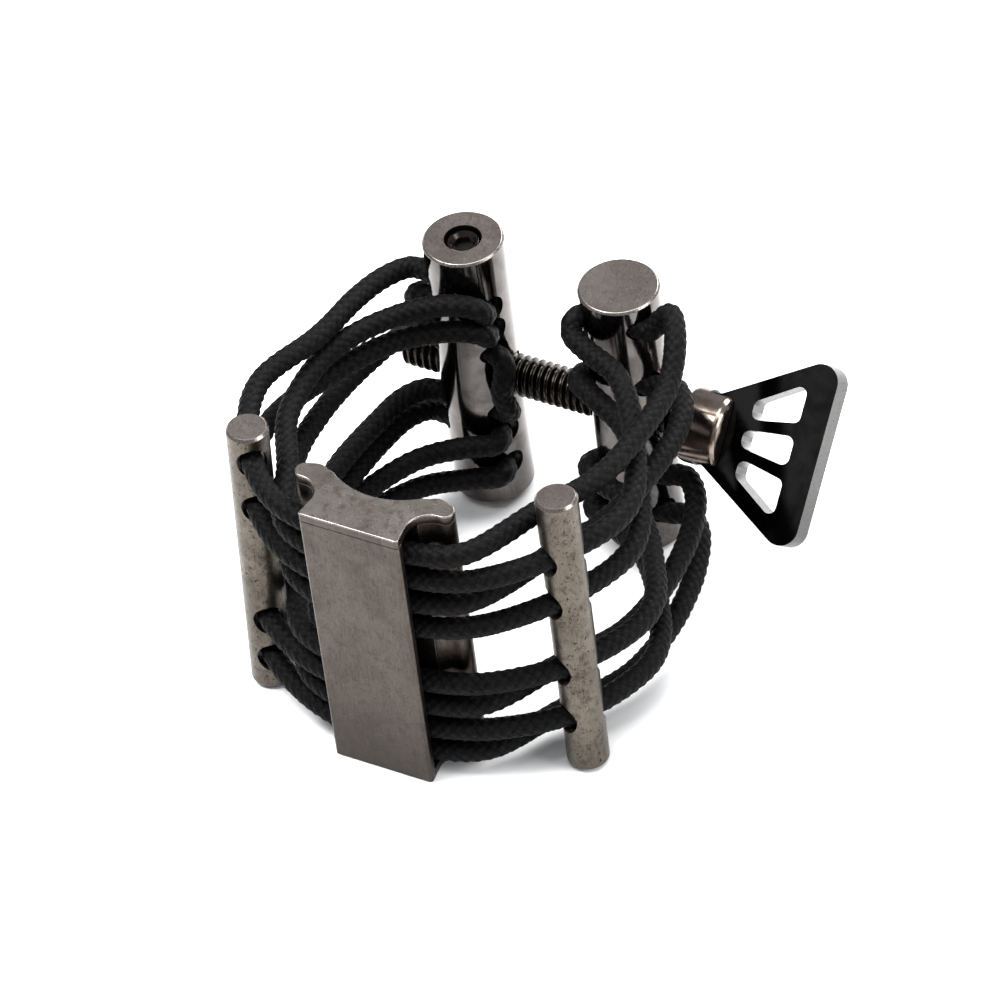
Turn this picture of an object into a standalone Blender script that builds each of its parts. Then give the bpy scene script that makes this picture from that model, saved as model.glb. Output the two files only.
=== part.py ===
"""Saxophone string ligature.

A braided cord is laced as eight strands round the mouthpiece, between two round posts.
One thumb screw draws the posts together. A saddle with a concave cradle presses on the reed
side, and two small round bars ride on the cord beside it.

Lengths below are in millimetres in the ring frame: Z up, X along the clamp screw towards the
thumb wing, Y from the saddle towards the posts, Z = 0 on the lower ends of posts and bars.
"""
import bpy
import bmesh
import math
from mathutils import Vector

MM = 0.001

# ---- driving dimensions (mm) ----
ORIGIN_X = 4.515         # centre of the whole object's box, which becomes the model's origin
ORIGIN_Y = 3.642

POST_R = 3.97            # 5/16 inch round stock
POST_H = 31.6
POST_X = 8.35            # half the distance between the posts
POST_Y = 19.5
SCREW_Z = 15.8
SCREW_R = 2.08           # no. 8 screw, 32 threads to the inch
SCREW_TIP_X = -16.3
SCREW_END_X = 16.1
SCREW_BORE_R = 2.2

NUT_LIFT = 0.6           # the lacing holds the nut post this much above the other pieces' ends

BAR_R = 2.05
RIGHT_BAR_HOLES = 56.0   # heading of the cord holes from X
LEFT_BAR_HOLES = -51.0
RIGHT_BAR = ((17.58, -10.98, 0.14), (16.45, -9.11, 32.5))      # the axis' lower and upper ends: the bars lean inwards
LEFT_BAR = ((-15.92, -12.55, 0.10), (-14.93, -11.57, 32.5))

CORD_R = 1.08
CORD_HOLE_R = 1.3
BAR_HOLE_R = 1.48
CORD_HOLE_Y = 17.5       # the posts' cord holes lie towards the saddle from the screw

SADDLE_H = 32.0
SADDLE_FACE_Y = -19.6
SADDLE_HALF_W = 5.25
SADDLE_PLATE = 1.0
SLOT_Y0, SLOT_Y1 = -18.65, -16.0
CRADLE_R = 8.0
CRADLE_Y = -14.95        # deepest point of the cradle

BOSS_X0, BOSS_X1, BOSS_R = 14.4, 19.0, 3.75
WING_X0, WING_X1 = 16.6, 28.7
WING_ROOT, WING_END = 3.55, 10.3
WING_T = 2.8
WING_SLOT = 3.06
WING_ANGLE = 46.0        # the plate's turn about the screw at rest, from upright

SET_R = 1.72
SET_HOLE_R = 1.85

# ---- levels of the lacing (mm above the lower ends), strands 1 to 8 from the top ----
SADDLE_Z = [28.4, 25.2, 22.0, 18.8, 11.6, 8.5, 5.4, 2.4]
RBAR_Z = [28.4, 25.7, 22.6, 20.4, 12.2, 8.8, 6.2, 2.9]
LBAR_Z = [29.5, 26.4, 23.8, 20.6, 12.0, 9.1, 6.5, 4.2]
P_Z = [29.0, 21.6, 10.0, 4.8]                                           # cord holes in the screw post
N_Z = {1: 28.5, 2: 25.7, 3: 22.9, 4: 20.1, 5: 12.4, 6: 9.6, 7: 5.3}     # and in the nut post
THROUGH_RBAR = (2, 4, 5, 7)      # these strands pass through the right bar, the others behind it
THROUGH_LBAR = (1, 3, 6, 8)
OUTER_AT_SCREW_POST = (1, 3, 6, 8)
OUTER_AT_NUT_POST = {1: 1, 4: 4, 5: 5, 6: 6}     # strand: hole
INNER_AT_NUT_POST = {2: 2, 3: 3, 7: 6, 8: 7}
SLOT_MID_Y = -17.3
BEHIND_BAR = 3.4                 # how far behind a bar's axis a strand passes it

# ---- start from an empty scene ----
for ob in list(bpy.data.objects):
    bpy.data.objects.remove(ob, do_unlink=True)

parts = bpy.data.collections.new("saxophone_ligature")
bpy.context.scene.collection.children.link(parts)
cutters = bpy.data.collections.new("cutters")
bpy.context.scene.collection.children.link(cutters)


def at(x, y, z):
    """a point of the ring frame, in metres in the model's frame"""
    return Vector(((x - ORIGIN_X) * MM, (y - ORIGIN_Y) * MM, z * MM))


def material(name, colour, rough, metal):
    m = bpy.data.materials.new(name)
    m.use_nodes = True
    b = m.node_tree.nodes["Principled BSDF"]
    b.inputs["Base Color"].default_value = (*colour, 1.0)
    b.inputs["Roughness"].default_value = rough
    b.inputs["Metallic"].default_value = metal
    return m


def settle(ob, name, collection, mat=None):
    ob.name = name
    ob.data.name = name
    for c in list(ob.users_collection):
        c.objects.unlink(ob)
    collection.objects.link(ob)
    if mat is not None:
        ob.data.materials.clear()
        ob.data.materials.append(mat)
    return ob


def cylinder(name, r, length, centre, sides, axis="Z", turn=0.0, collection=None, mat=None):
    rot = {"Z": (0.0, 0.0, turn), "X": (0.0, math.pi / 2, 0.0)}[axis]
    bpy.ops.mesh.primitive_cylinder_add(vertices=sides, radius=r * MM, depth=length * MM,
                                        location=at(*centre), rotation=rot)
    ob = settle(bpy.context.active_object, name, collection or parts, mat)
    if collection is not cutters:
        ob.data.shade_smooth()
        ob.data.set_sharp_from_angle(angle=math.radians(35))
    return ob


def as_cutter(ob):
    ob.hide_render = True
    ob.display_type = "WIRE"
    return ob


def bore_x(name, r, x0, x1, y, z, sides=20):
    return as_cutter(cylinder(name, r, x1 - x0, ((x0 + x1) / 2, y, z), sides, "X", collection=cutters))


def bore_z(name, r, z0, z1, x, y, sides=24):
    return as_cutter(cylinder(name, r, z1 - z0, (x, y, (z0 + z1) / 2), sides, "Z", collection=cutters))


def bore_flat(name, r, length, centre, heading, sides=20):
    """a level bore along the heading (degrees from +X)"""
    bpy.ops.mesh.primitive_cylinder_add(vertices=sides, radius=r * MM, depth=length * MM,
                                        location=at(*centre), rotation=(0.0, math.pi / 2, math.radians(heading)))
    return as_cutter(settle(bpy.context.active_object, name, cutters))


def cut(ob, cutter):
    m = ob.modifiers.new("cut_" + cutter.name, "BOOLEAN")
    m.operation = "DIFFERENCE"
    m.solver = "EXACT"
    m.object = cutter


def bevel(ob, width, segments=1, angle=35.0):
    m = ob.modifiers.new("edge", "BEVEL")
    m.width = width * MM
    m.segments = segments
    m.limit_method = "ANGLE"
    m.angle_limit = math.radians(angle)


def arc(cx, cy, r, a0, a1, n):
    """points of an arc, degrees, both ends included"""
    out = []
    for i in range(n + 1):
        a = math.radians(a0 + (a1 - a0) * i / n)
        out.append((cx + r * math.cos(a), cy + r * math.sin(a)))
    return out


def flat_outline(name, outlines, thickness, mat):
    """an extruded flat shape as a mesh: the first outline is its edge, the others are its windows"""
    cu = bpy.data.curves.new(name + "_outline", "CURVE")
    cu.dimensions = "2D"
    cu.fill_mode = "BOTH"
    cu.extrude = thickness * MM / 2
    for pts in outlines:
        sp = cu.splines.new("POLY")
        sp.points.add(len(pts) - 1)
        for p, (x, y) in zip(sp.points, pts):
            p.co = (x * MM, y * MM, 0.0, 1.0)
        sp.use_cyclic_u = True
    guide = bpy.data.objects.new(name + "_outline", cu)
    bpy.context.scene.collection.objects.link(guide)
    return mesh_from(guide, name, mat)


def mesh_from(guide, name, mat):
    """the curve's closed mesh as a new object in the curve's place"""
    bpy.context.view_layer.update()
    deps = bpy.context.evaluated_depsgraph_get()
    me = bpy.data.meshes.new_from_object(guide.evaluated_get(deps))
    bm = bmesh.new()
    bm.from_mesh(me)
    bmesh.ops.remove_doubles(bm, verts=bm.verts, dist=1e-6)
    bmesh.ops.recalc_face_normals(bm, faces=bm.faces)
    bm.to_mesh(me)
    bm.free()
    ob = bpy.data.objects.new(name, me)
    ob.matrix_world = guide.matrix_world
    bpy.data.objects.remove(guide, do_unlink=True)
    parts.objects.link(ob)
    me.name = name
    me.materials.clear()
    me.materials.append(mat)
    me.shade_smooth()
    me.set_sharp_from_angle(angle=math.radians(35))
    return ob


def polar(angle, r, side):
    a = math.radians(angle)
    return side * r * math.sin(a), -r * math.cos(a)


gun_metal = material("gun_metal", (0.075, 0.072, 0.070), 0.16, 1.0)
satin = material("satin_gun_metal", (0.30, 0.285, 0.265), 0.36, 1.0)
wing_black = material("black_nickel", (0.030, 0.029, 0.030), 0.12, 1.0)
warm = material("warm_nickel", (0.34, 0.27, 0.22), 0.22, 1.0)
screw_metal = material("screw_metal", (0.16, 0.145, 0.13), 0.28, 1.0)
cord_black = material("black_cord", (0.014, 0.014, 0.016), 0.85, 0.0)


# ---- posts ----
def make_post(name, x, lift, mat):
    ob = cylinder(name, POST_R, POST_H, (x, POST_Y, lift + POST_H / 2), 48, mat=mat)
    bevel(ob, 0.28, 1, 60)
    return ob


nut_post = make_post("nut_post", -POST_X, NUT_LIFT, gun_metal.copy())
reach = POST_R + 2.0
cut(nut_post, bore_x("nut_thread_bore", SCREW_BORE_R, -POST_X - reach, -POST_X + reach, POST_Y, SCREW_Z, 24))
for k in (2, 3, 4, 5, 6):
    cut(nut_post, bore_x("nut_cord_hole_%d" % k, CORD_HOLE_R, -POST_X - reach, -POST_X + reach, CORD_HOLE_Y, N_Z[k]))
cut(nut_post, bore_x("nut_cord_end_top", CORD_HOLE_R, -POST_X - reach, -POST_X + 1.2, CORD_HOLE_Y, N_Z[1]))
cut(nut_post, bore_x("nut_cord_end_bottom", CORD_HOLE_R, -POST_X - 1.2, -POST_X + reach, CORD_HOLE_Y, N_Z[7]))
cut(nut_post, bore_z("lock_bore_top", SET_HOLE_R, N_Z[1] + 0.4, POST_H + 2.0, -POST_X, POST_Y))
cut(nut_post, bore_z("lock_bore_bottom", SET_HOLE_R, -1.0, N_Z[7] - 0.4, -POST_X, POST_Y))

screw_post = make_post("screw_post", POST_X, 0.0, gun_metal.copy())
cut(screw_post, bore_x("screw_clearance_bore", SCREW_BORE_R, POST_X - reach, POST_X + reach, POST_Y, SCREW_Z, 24))
for k, z in enumerate(P_Z):
    cut(screw_post, bore_x("screw_cord_hole_%d" % (k + 1), CORD_HOLE_R, POST_X - reach, POST_X + reach, CORD_HOLE_Y, z))


# ---- lock screws in the ends of the nut post ----
def set_screw(name, z0, z1, socket_up):
    ob = cylinder(name, SET_R, z1 - z0, (-POST_X, POST_Y, (z0 + z1) / 2), 24, mat=gun_metal.copy())
    bevel(ob, 0.2, 1, 60)
    depth = 1.0
    if socket_up:
        tool = bore_z(name + "_socket", 1.0, z1 - depth, z1 + 1.0, -POST_X, POST_Y, 6)
    else:
        tool = bore_z(name + "_socket", 1.0, z0 - 1.0, z0 + depth, -POST_X, POST_Y, 6)
    cut(ob, tool)
    return ob


lock_top = set_screw("cord_lock_screw_top", N_Z[1] + CORD_R + 0.3, NUT_LIFT + POST_H - 0.35, True)
lock_bottom = set_screw("cord_lock_screw_bottom", NUT_LIFT + 0.35, N_Z[7] - CORD_R - 0.3, False)

# ---- clamp screw, boss and wing, all turned about the screw's axis ----
axis_point = at(POST_X, POST_Y, SCREW_Z)
thumb = bpy.data.objects.new("thumb_screw_axis", None)
thumb.location = axis_point
parts.objects.link(thumb)
bpy.context.view_layer.update()

clamp_screw = cylinder("clamp_screw", SCREW_R, SCREW_END_X - SCREW_TIP_X,
                       ((SCREW_TIP_X + SCREW_END_X) / 2, POST_Y, SCREW_Z), 24, "X", mat=screw_metal)
bevel(clamp_screw, 0.4, 1, 60)

boss = cylinder("thumb_boss", BOSS_R, BOSS_X1 - BOSS_X0,
                ((BOSS_X0 + BOSS_X1) / 2, POST_Y, SCREW_Z), 40, "X", mat=warm)
bevel(boss, 0.45, 2, 60)
cut(boss, bore_x("boss_bore", SCREW_BORE_R, BOSS_X0 - 1.0, WING_X0, POST_Y, SCREW_Z, 24))
bpy.ops.mesh.primitive_cube_add(size=1.0, location=at(WING_X0 - 0.3 + 2.0, POST_Y, SCREW_Z),
                                rotation=(math.radians(-WING_ANGLE), 0.0, 0.0))
slot = as_cutter(settle(bpy.context.active_object, "boss_slot", cutters))
slot.scale = (4.0 * MM, WING_SLOT * MM, (2 * BOSS_R + 2.0) * MM)
cut(boss, slot)


def rounded(points, radii, n=5):
    """a closed outline with its corners rounded"""
    out = []
    m = len(points)
    for i in range(m):
        p0, p1, p2 = Vector(points[i - 1]), Vector(points[i]), Vector(points[(i + 1) % m])
        a, b = (p0 - p1).normalized(), (p2 - p1).normalized()
        r = radii[i]
        if r <= 0:
            out.append(tuple(p1))
            continue
        half = math.acos(max(-1.0, min(1.0, a.dot(b)))) / 2
        centre = p1 + (a + b).normalized() * (r / math.sin(half))
        s = p1 + a * (r / math.tan(half))
        e = p1 + b * (r / math.tan(half))
        a0 = math.atan2(s.y - centre.y, s.x - centre.x)
        a1 = math.atan2(e.y - centre.y, e.x - centre.x)
        while a1 - a0 > math.pi:
            a1 -= 2 * math.pi
        while a1 - a0 < -math.pi:
            a1 += 2 * math.pi
        for k in range(n + 1):
            t = a0 + (a1 - a0) * k / n
            out.append((centre.x + r * math.cos(t), centre.y + r * math.sin(t)))
    return out


def rib_window(x0, x1, y0a, y1a, y0b, y1b, r):
    """a rounded four-sided window between x0 and x1"""
    return rounded([(x0, y0a), (x1, y0b), (x1, y1b), (x0, y1a)], [r] * 4, 3)


flare = (WING_END - WING_ROOT) / (WING_X1 - (BOSS_X1 - 1.6))
edge = rounded([(WING_X0, -WING_ROOT), (BOSS_X1 - 1.6, -WING_ROOT), (WING_X1, -WING_END),
                (WING_X1, WING_END), (BOSS_X1 - 1.6, WING_ROOT), (WING_X0, WING_ROOT)],
               [0, 0, 1.8, 1.8, 0, 0])
windows = [
    rib_window(20.7, 25.9, -0.85, 0.85, -1.5, 1.5, 0.75),
    rib_window(21.0, 25.9, 1.9, 3.7, 2.85, 6.8, 0.7),
    rib_window(21.0, 25.9, -3.7, -1.9, -6.8, -2.85, 0.7),
]
wing = flat_outline("thumb_wing", [edge] + windows, WING_T, wing_black)
wing.location = at(0.0, POST_Y, SCREW_Z)
wing.rotation_euler = (math.radians(90.0 - WING_ANGLE), 0.0, 0.0)
bevel(wing, 0.22, 1, 50)

for ob in (clamp_screw, boss, wing):
    bpy.context.view_layer.update()
    world = ob.matrix_world.copy()
    ob.parent = thumb
    ob.matrix_parent_inverse = thumb.matrix_world.inverted()
    ob.matrix_world = world


# ---- saddle ----
def saddle_half():
    pts = [(SADDLE_HALF_W - 0.25, SADDLE_FACE_Y), (SADDLE_HALF_W, SADDLE_FACE_Y + 0.25)]
    pts += arc(7.2, -17.3, 2.2, 180, 90, 7)
    pts += arc(7.4, -14.15, 0.95, -80, 60, 7)
    pts += arc(6.4, -14.4, 1.5, 70, 128, 4)
    a = math.degrees(math.asin(4.6 / CRADLE_R))
    pts += arc(0.0, CRADLE_Y + CRADLE_R, CRADLE_R, -90 + a, -90 + 4, 7)
    return pts


half = saddle_half()
outline = half + [(0.0, CRADLE_Y)] + [(-x, y) for x, y in reversed(half)]
saddle = flat_outline("saddle", [outline], SADDLE_H, satin)
saddle.location = at(0.0, 0.0, SADDLE_H / 2)
bevel(saddle, 0.12, 1, 50)
bpy.ops.mesh.primitive_cube_add(size=1.0, location=at(0.0, (SLOT_Y0 + SLOT_Y1) / 2, SADDLE_H / 2))
gap = as_cutter(settle(bpy.context.active_object, "saddle_slot", cutters))
gap.scale = (24.0 * MM, (SLOT_Y1 - SLOT_Y0) * MM, (SADDLE_H - 2 * SADDLE_PLATE) * MM)
cut(saddle, gap)


# ---- tuner bars ----
def on_axis(bar, z):
    """the point of a bar's axis at height z"""
    (x0, y0, z0), (x1, y1, z1) = bar
    t = (z - z0) / (z1 - z0)
    return x0 + t * (x1 - x0), y0 + t * (y1 - y0)


def behind(bar, z):
    """where a strand passes behind a bar"""
    x, y = on_axis(bar, z)
    r = math.hypot(x, y)
    k = min(r - BEHIND_BAR, 16.3) / r
    return x * k, y * k


def make_bar(name, bar, heading, levels):
    low, high = at(*bar[0]), at(*bar[1])
    bpy.ops.mesh.primitive_cylinder_add(vertices=32, radius=BAR_R * MM, depth=(high - low).length, location=(low + high) / 2,
                                        rotation=(high - low).to_track_quat("Z", "Y").to_euler())
    ob = settle(bpy.context.active_object, name, parts, satin.copy())
    ob.data.shade_smooth()
    ob.data.set_sharp_from_angle(angle=math.radians(35))
    bevel(ob, 0.22, 1, 60)
    for k, z in enumerate(levels):
        cut(ob, bore_flat("%s_hole_%d" % (name, k + 1), BAR_HOLE_R, 4 * BAR_R, (*on_axis(bar, z), z), heading))
    return ob


right_bar = make_bar("right_tuner_bar", RIGHT_BAR, RIGHT_BAR_HOLES, [RBAR_Z[s - 1] for s in THROUGH_RBAR])
left_bar = make_bar("left_tuner_bar", LEFT_BAR, LEFT_BAR_HOLES, [LBAR_Z[s - 1] for s in THROUGH_LBAR])


# ---- the lacing: one cord, eight strands ----
def right_half(s):
    """way points of strand s from the middle of the saddle to the middle of the screw post"""
    zs, zb, zp = SADDLE_Z[s - 1], RBAR_Z[s - 1], P_Z[(s - 1) // 2]
    low = 1.0 if s > 4 else 0.0
    pts = [(0.0, SLOT_MID_Y, zs), (4.6, SLOT_MID_Y, zs)]
    zi = zs * 0.6 + zb * 0.4
    if s in THROUGH_RBAR:
        pts.append((10.3, -15.8, zi))
        pts.append((*on_axis(RIGHT_BAR, zb), zb))
        pts.append((*polar(84, 19.7 + low, 1), zb))
    else:
        pts.append((9.5, -15.65, zi))
        pts.append((*behind(RIGHT_BAR, zb), zb))
        pts.append((*polar(84, 16.8 + low, 1), zb))
    if s in OUTER_AT_SCREW_POST:
        lift = 2.3 if s == 1 else 0.4
        pts += [(17.6 + low, 5.0, zb * 0.8 + zp * 0.2), (17.4 + 0.6 * low, 11.5, zb * 0.4 + zp * 0.6),
                (16.3 + 0.3 * low, 15.6, zp + 0.8 * lift), (14.6, CORD_HOLE_Y + 0.25 * lift, zp + lift),
                (13.4, CORD_HOLE_Y + 0.25 * lift, zp + 0.45 * lift), (12.5, CORD_HOLE_Y, zp),
                (POST_X + 2.0, CORD_HOLE_Y, zp)]
    else:
        dip = -1.3 if s == 2 else 0.2
        pts += [(16.6 + 0.6 * low, 5.5, zb * 0.8 + zp * 0.2), (12.0, 11.6, zb * 0.4 + zp * 0.6),
                (7.4, 13.95, zp + dip), (5.2, 15.25, zp + 0.8 * dip), (4.95, 16.35, zp + 0.1 * dip), (5.75, 17.3, zp),
                (POST_X - 1.4, CORD_HOLE_Y, zp)]
    pts.append((POST_X, CORD_HOLE_Y, zp))
    return pts


def left_half(s):
    """the same to the nut post"""
    zs, zb = SADDLE_Z[s - 1], LBAR_Z[s - 1]
    zi = zs * 0.6 + zb * 0.4
    pts = [(0.0, SLOT_MID_Y, zs), (-4.6, SLOT_MID_Y, zs)]
    if s in THROUGH_LBAR:
        pts.append((-10.2, -16.0, zi))
        pts.append((*on_axis(LEFT_BAR, zb), zb))
        pts.append((*polar(80, 18.9, -1), zb))
    else:
        pts.append((-9.5, -15.65, zi))
        pts.append((*behind(LEFT_BAR, zb), zb))
        pts.append((*polar(80, 16.2, -1), zb))
    if s in OUTER_AT_NUT_POST:
        zn = N_Z[OUTER_AT_NUT_POST[s]]
        pts += [(-16.6, 5.0, zb * 0.7 + zn * 0.3), (-15.9, 11.5, zb * 0.4 + zn * 0.6),
                (-14.9, 15.4, zn + 0.1), (-13.3, CORD_HOLE_Y, zn), (-POST_X - 2.4, CORD_HOLE_Y, zn)]
        pts.append((-POST_X + 0.5 if s == 1 else -POST_X, CORD_HOLE_Y, zn))
    else:
        zn = N_Z[INNER_AT_NUT_POST[s]]
        lift = {2: 2.8, 3: 2.2}.get(s, 0.1)
        pts += [(-15.8, 5.5, zb * 0.85 + zn * 0.15 + 0.3 * lift), (-11.8, 11.4, zb * 0.3 + zn * 0.7 + 0.7 * lift),
                (-7.4, 13.95, zn + lift), (-5.15, 15.25, zn + 0.7 * lift), (-4.95, 16.35, zn + 0.1 * lift),
                (-5.75, 17.3, zn), (-POST_X + 1.4, CORD_HOLE_Y, zn)]
        pts.append((-POST_X - 0.3 if s == 8 else -POST_X, CORD_HOLE_Y, zn))
    return pts


def lacing():
    """way points of the whole cord, from its end in the nut post's top hole to its end in the lowest one"""
    def left_to_right(s):
        return left_half(s)[::-1] + right_half(s)[1:]

    def right_to_left(s):
        return right_half(s)[::-1] + left_half(s)[1:]

    y = CORD_HOLE_Y
    r = left_to_right(1) + right_to_left(2)
    z2, z3 = N_Z[2], N_Z[3]
    r += [(-POST_X - 3.4, y, z2), (-POST_X - 4.6, y, z2 - 0.35), (-POST_X - 5.1, y, (z2 + z3) / 2),
          (-POST_X - 4.6, y, z3 + 0.35), (-POST_X - 3.4, y, z3)]
    r += left_to_right(3) + right_to_left(4)
    z4, z5 = N_Z[4], N_Z[5]
    r += [(-POST_X + 2.6, y, z4), (-POST_X + 4.3, y - 0.5, z4 - 0.5), (-POST_X + 4.6, y - 1.2, z4 - 2.0),
          (-POST_X + 4.3, y - 1.5, (z4 + z5) / 2), (-POST_X + 4.6, y - 1.2, z5 + 2.0),
          (-POST_X + 4.3, y - 0.5, z5 + 0.5), (-POST_X + 2.6, y, z5)]
    r += left_to_right(5) + right_to_left(6) + left_to_right(7) + right_to_left(8)
    out = [r[0]]
    for p in r[1:]:
        if math.dist(p, out[-1]) > 0.3:
            out.append(p)
    return out


def smooth_route(way):
    """a fine centripetal spline through the way points"""
    ends = [tuple(2 * a - b for a, b in zip(way[0], way[1]))], [tuple(2 * a - b for a, b in zip(way[-1], way[-2]))]
    p = ends[0] + list(way) + ends[1]
    fine = []
    for i in range(1, len(p) - 2):
        p0, p1, p2, p3 = (Vector(q) for q in p[i - 1:i + 3])
        t1 = (p1 - p0).length ** 0.5
        t2 = t1 + (p2 - p1).length ** 0.5
        t3 = t2 + (p3 - p2).length ** 0.5
        n = max(4, int((p2 - p1).length / 0.25))
        for k in range(n):
            t = t1 + (t2 - t1) * k / n
            a1 = p0 * ((t1 - t) / t1) + p1 * (t / t1)
            a2 = p1 * ((t2 - t) / (t2 - t1)) + p2 * ((t - t1) / (t2 - t1))
            a3 = p2 * ((t3 - t) / (t3 - t2)) + p3 * ((t - t2) / (t3 - t2))
            b1 = a1 * ((t2 - t) / t2) + a2 * (t / t2)
            b2 = a2 * ((t3 - t) / (t3 - t1)) + a3 * ((t - t1) / (t3 - t1))
            fine.append(b1 * ((t2 - t) / (t2 - t1)) + b2 * ((t - t1) / (t2 - t1)))
    fine.append(Vector(p[-2]))
    return fine


def thin_out(fine, longest, sharpest):
    """keep a point where the run gets long or the turn since the last kept point gets large"""
    kept = [fine[0]]
    last = 0
    heading = (fine[1] - fine[0]).normalized()
    for i in range(1, len(fine) - 1):
        step = (fine[i + 1] - fine[i]).normalized()
        turned = math.degrees(math.acos(max(-1.0, min(1.0, heading.dot(step)))))
        if (fine[i] - fine[last]).length >= longest or (turned >= sharpest and (fine[i] - fine[last]).length > 0.25):
            kept.append(fine[i])
            last = i
            heading = step
    if (fine[-1] - kept[-1]).length < 0.3:
        kept.pop()
    kept.append(fine[-1])
    return kept


def make_cord():
    route = thin_out(smooth_route(lacing()), 4.0, 20.0)
    cu = bpy.data.curves.new("lacing_cord", "CURVE")
    cu.dimensions = "3D"
    cu.bevel_depth = CORD_R * MM
    cu.bevel_resolution = 2
    cu.use_fill_caps = True
    cu.twist_mode = "MINIMUM"
    sp = cu.splines.new("POLY")
    sp.points.add(len(route) - 1)
    for p, q in zip(sp.points, route):
        p.co = (*at(*q), 1.0)
    guide = bpy.data.objects.new("lacing_cord_route", cu)
    bpy.context.scene.collection.objects.link(guide)
    return mesh_from(guide, "lacing_cord", cord_black)


lacing_cord = make_cord()
bpy.context.view_layer.update()
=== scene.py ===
"""Looks of the saxophone string ligature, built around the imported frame.

Lengths are in millimetres in the ring frame (Z up, X along the clamp screw towards the thumb wing,
Y from the saddle towards the posts) and are turned into the model's metres by at() and to_model().
"""

import math

import bmesh
import bpy
import numpy as np
from mathutils import Matrix, Vector


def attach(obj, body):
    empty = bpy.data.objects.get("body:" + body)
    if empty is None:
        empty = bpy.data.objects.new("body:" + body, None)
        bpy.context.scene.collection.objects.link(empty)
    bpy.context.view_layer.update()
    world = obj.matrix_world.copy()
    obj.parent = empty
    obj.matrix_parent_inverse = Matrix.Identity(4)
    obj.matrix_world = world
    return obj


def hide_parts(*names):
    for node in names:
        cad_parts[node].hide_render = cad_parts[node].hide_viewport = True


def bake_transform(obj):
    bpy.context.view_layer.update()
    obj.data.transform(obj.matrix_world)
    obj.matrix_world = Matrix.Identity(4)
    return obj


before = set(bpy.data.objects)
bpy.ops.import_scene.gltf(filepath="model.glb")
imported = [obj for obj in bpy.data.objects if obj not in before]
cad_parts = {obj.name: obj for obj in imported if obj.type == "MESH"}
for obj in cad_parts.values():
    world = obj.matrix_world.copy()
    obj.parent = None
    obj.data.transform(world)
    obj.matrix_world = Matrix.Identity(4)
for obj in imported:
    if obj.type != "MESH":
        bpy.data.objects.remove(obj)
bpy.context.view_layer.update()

MM = 0.001
ORIGIN = np.array([4.515, 3.642, 0.0])

# ---- the part's own dimensions (mm) ----
POST_R, POST_H, POST_X, POST_Y = 3.97, 31.6, 8.35, 19.5
SCREW_Z, SCREW_R, SCREW_TIP_X, SCREW_END_X = 15.8, 2.08, -16.3, 16.1
SCREW_BORE_R = 2.2
THREAD_PITCH = 0.794
NUT_LIFT = 0.6
BAR_R = 2.05
RIGHT_BAR_HOLES, LEFT_BAR_HOLES = 56.0, -51.0
RIGHT_BAR = ((17.58, -10.98, 0.14), (16.45, -9.11, 32.5))
LEFT_BAR = ((-15.92, -12.55, 0.10), (-14.93, -11.57, 32.5))
CORD_R, CORD_HOLE_R, BAR_HOLE_R, CORD_HOLE_Y = 1.08, 1.3, 1.48, 17.5
SADDLE_H, SADDLE_FACE_Y, SADDLE_HALF_W, SADDLE_PLATE = 32.0, -19.6, 5.25, 1.0
SLOT_Y0, SLOT_Y1 = -18.65, -16.0
CRADLE_R, CRADLE_Y = 8.0, -14.95
BOSS_X0, BOSS_X1, BOSS_R = 14.4, 19.0, 3.75
WING_X0, WING_X1, WING_ROOT, WING_END = 16.6, 28.7, 3.55, 10.3
WING_T, WING_SLOT, WING_ANGLE = 2.8, 3.06, 46.0
SET_R, SET_HOLE_R = 1.72, 1.85

SADDLE_Z = [28.4, 25.2, 22.0, 18.8, 11.6, 8.5, 5.4, 2.4]
RBAR_Z = [28.4, 25.7, 22.6, 20.4, 12.2, 8.8, 6.2, 2.9]
LBAR_Z = [29.5, 26.4, 23.8, 20.6, 12.0, 9.1, 6.5, 4.2]
P_Z = [29.0, 21.6, 10.0, 4.8]
N_Z = {1: 28.5, 2: 25.7, 3: 22.9, 4: 20.1, 5: 12.4, 6: 9.6, 7: 5.3}
THROUGH_RBAR = (2, 4, 5, 7)
THROUGH_LBAR = (1, 3, 6, 8)
OUTER_AT_SCREW_POST = (1, 3, 6, 8)
OUTER_AT_NUT_POST = {1: 1, 4: 4, 5: 5, 6: 6}
INNER_AT_NUT_POST = {2: 2, 3: 3, 7: 6, 8: 7}
SLOT_MID_Y = -17.3
BEHIND_BAR = 3.4


def at(x, y, z):
    return Vector(((x - ORIGIN[0]) * MM, (y - ORIGIN[1]) * MM, z * MM))


def to_model(co):
    return (np.asarray(co, float) - ORIGIN) * MM


# =====================================================================================
# camera
# =====================================================================================
CAM_AZ, CAM_EL, CAM_ROLL, CAM_DIST = map(float, (32.84, 43.71, -7.71, 727.85))


def make_camera():
    a, e, r = (math.radians(v) for v in (CAM_AZ, CAM_EL, CAM_ROLL))
    back = Vector((math.sin(a) * math.cos(e), -math.cos(a) * math.cos(e), math.sin(e)))
    right = Vector((math.cos(a), math.sin(a), 0.0))
    up = back.cross(right)
    rr = right * math.cos(r) + up * math.sin(r)
    uu = up * math.cos(r) - right * math.sin(r)
    place = at(0.0, 0.0, 16.0) + (back * CAM_DIST + rr * 3.59 + uu * 1.33) * MM
    cam = bpy.data.cameras.new("camera")
    cam.lens = 275.3
    cam.sensor_width = 36.0
    cam.clip_start = 0.05
    cam.clip_end = 20.0
    cam.dof.use_dof = False
    ob = bpy.data.objects.new("camera", cam)
    bpy.context.scene.collection.objects.link(ob)
    m = Matrix((rr, uu, back)).transposed().to_4x4()
    m.translation = place
    ob.matrix_world = m
    bpy.context.scene.camera = ob


make_camera()


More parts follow.
